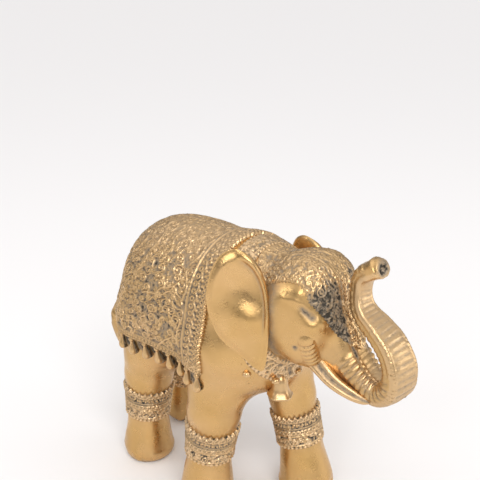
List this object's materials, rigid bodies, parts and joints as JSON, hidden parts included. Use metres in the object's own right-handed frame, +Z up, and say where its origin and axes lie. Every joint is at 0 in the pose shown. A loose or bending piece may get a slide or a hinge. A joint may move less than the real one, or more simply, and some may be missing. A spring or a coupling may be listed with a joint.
{
  "type": "elephant statue",
  "caption": "Cast stone-resin statue of a walking elephant with raised trunk, carved saddle cloth, anklets and tusks; stands on its four feet as an ornament.",
  "frame": {"origin": "on the surface that it stands on, under the middle of its outline", "axes": "+X the way the elephant walks, +Y its left side, +Z up"},
  "size_m": [0.1946, 0.0814, 0.1591],
  "materials": {
    "gilt_resin": "satin gold paint with a dark wash in the carving, on stone-filled resin"
  },
  "bodies": {
    "root": {"elephant_statue": "gilt_resin"}
  },
  "joints": []
}
